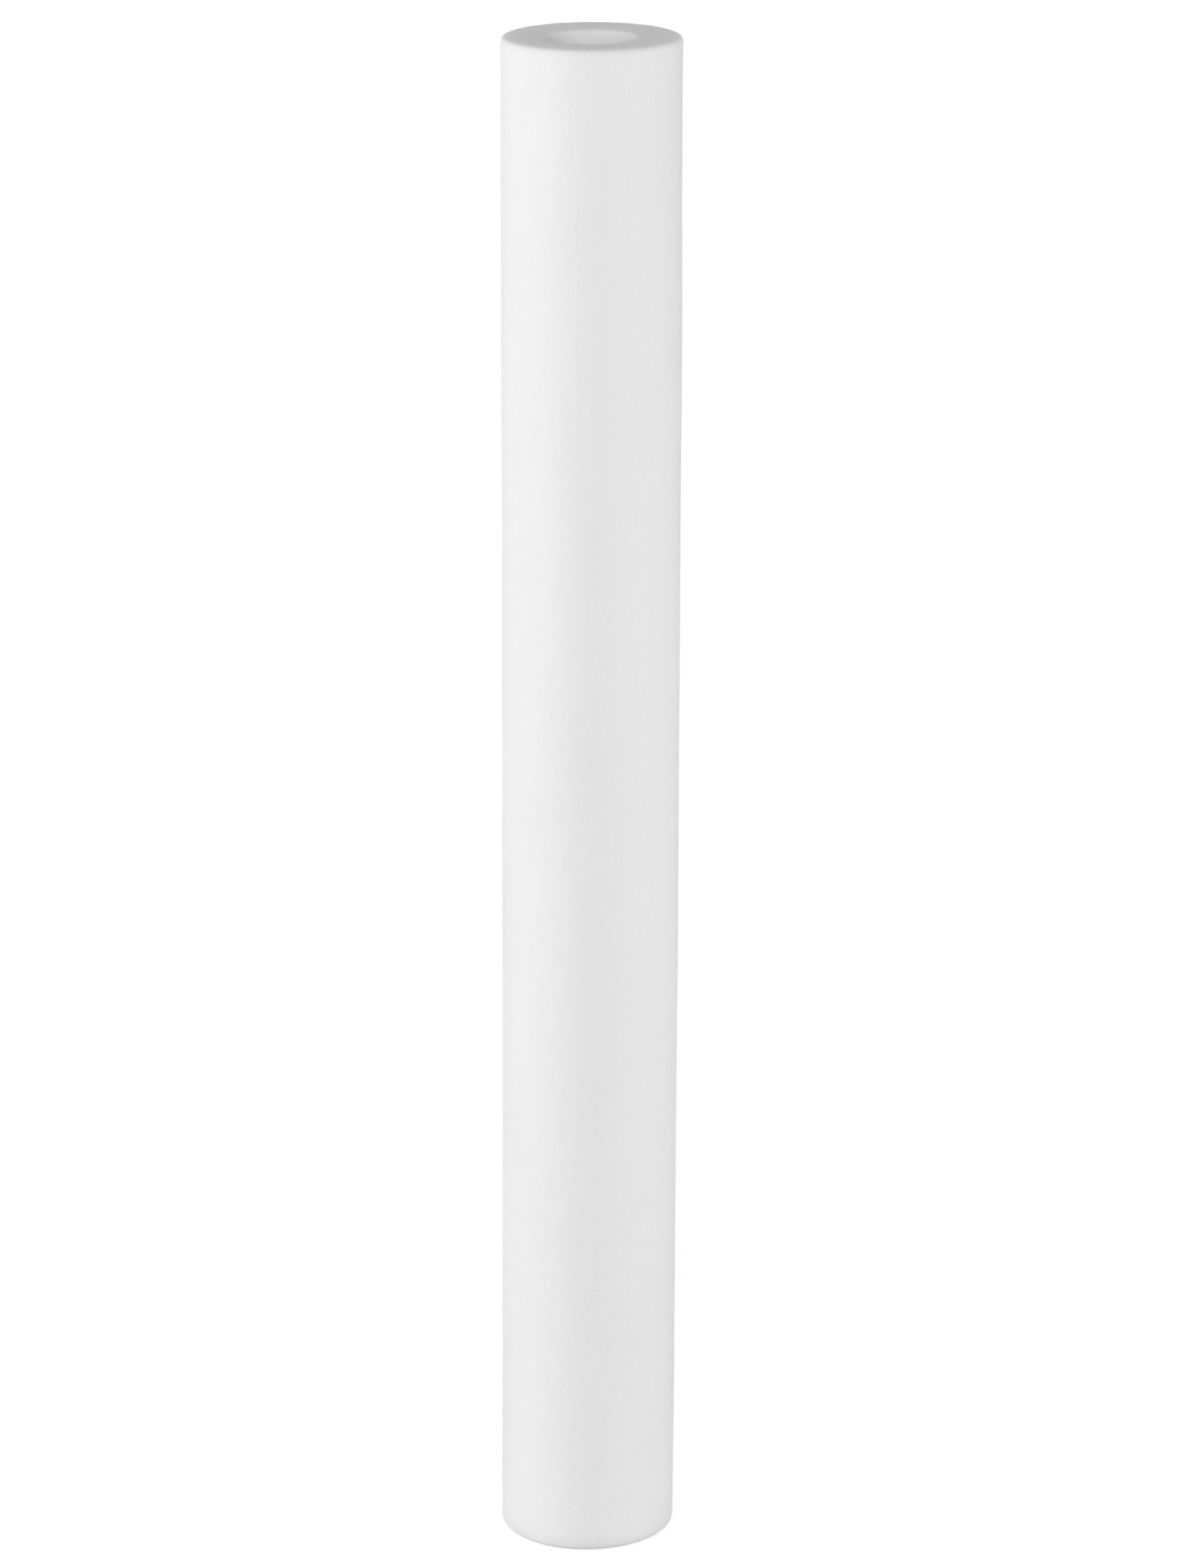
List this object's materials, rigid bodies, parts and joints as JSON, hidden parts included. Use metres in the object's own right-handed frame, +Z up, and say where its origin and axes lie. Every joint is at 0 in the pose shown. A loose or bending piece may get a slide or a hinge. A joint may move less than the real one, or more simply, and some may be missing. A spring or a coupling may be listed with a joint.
{
  "type": "sediment filter cartridge",
  "caption": "Plain thick-walled porous tube of white melt-blown fibre, with flat sawn ends, soft rims and a through bore; water passes through its wall to the bore.",
  "frame": {"origin": "centre of the lower sawn end, on the bore's axis, so that the cartridge stands on Z = 0", "axes": "+Z up along the bore's axis; the tube is round, so X and Y are free, and -Y faces the picture's camera"},
  "size_m": [0.058, 0.058, 0.508],
  "materials": {
    "melt_blown_fibre": "matte"
  },
  "bodies": {
    "root": {"filter_tube": "melt_blown_fibre"}
  },
  "joints": []
}
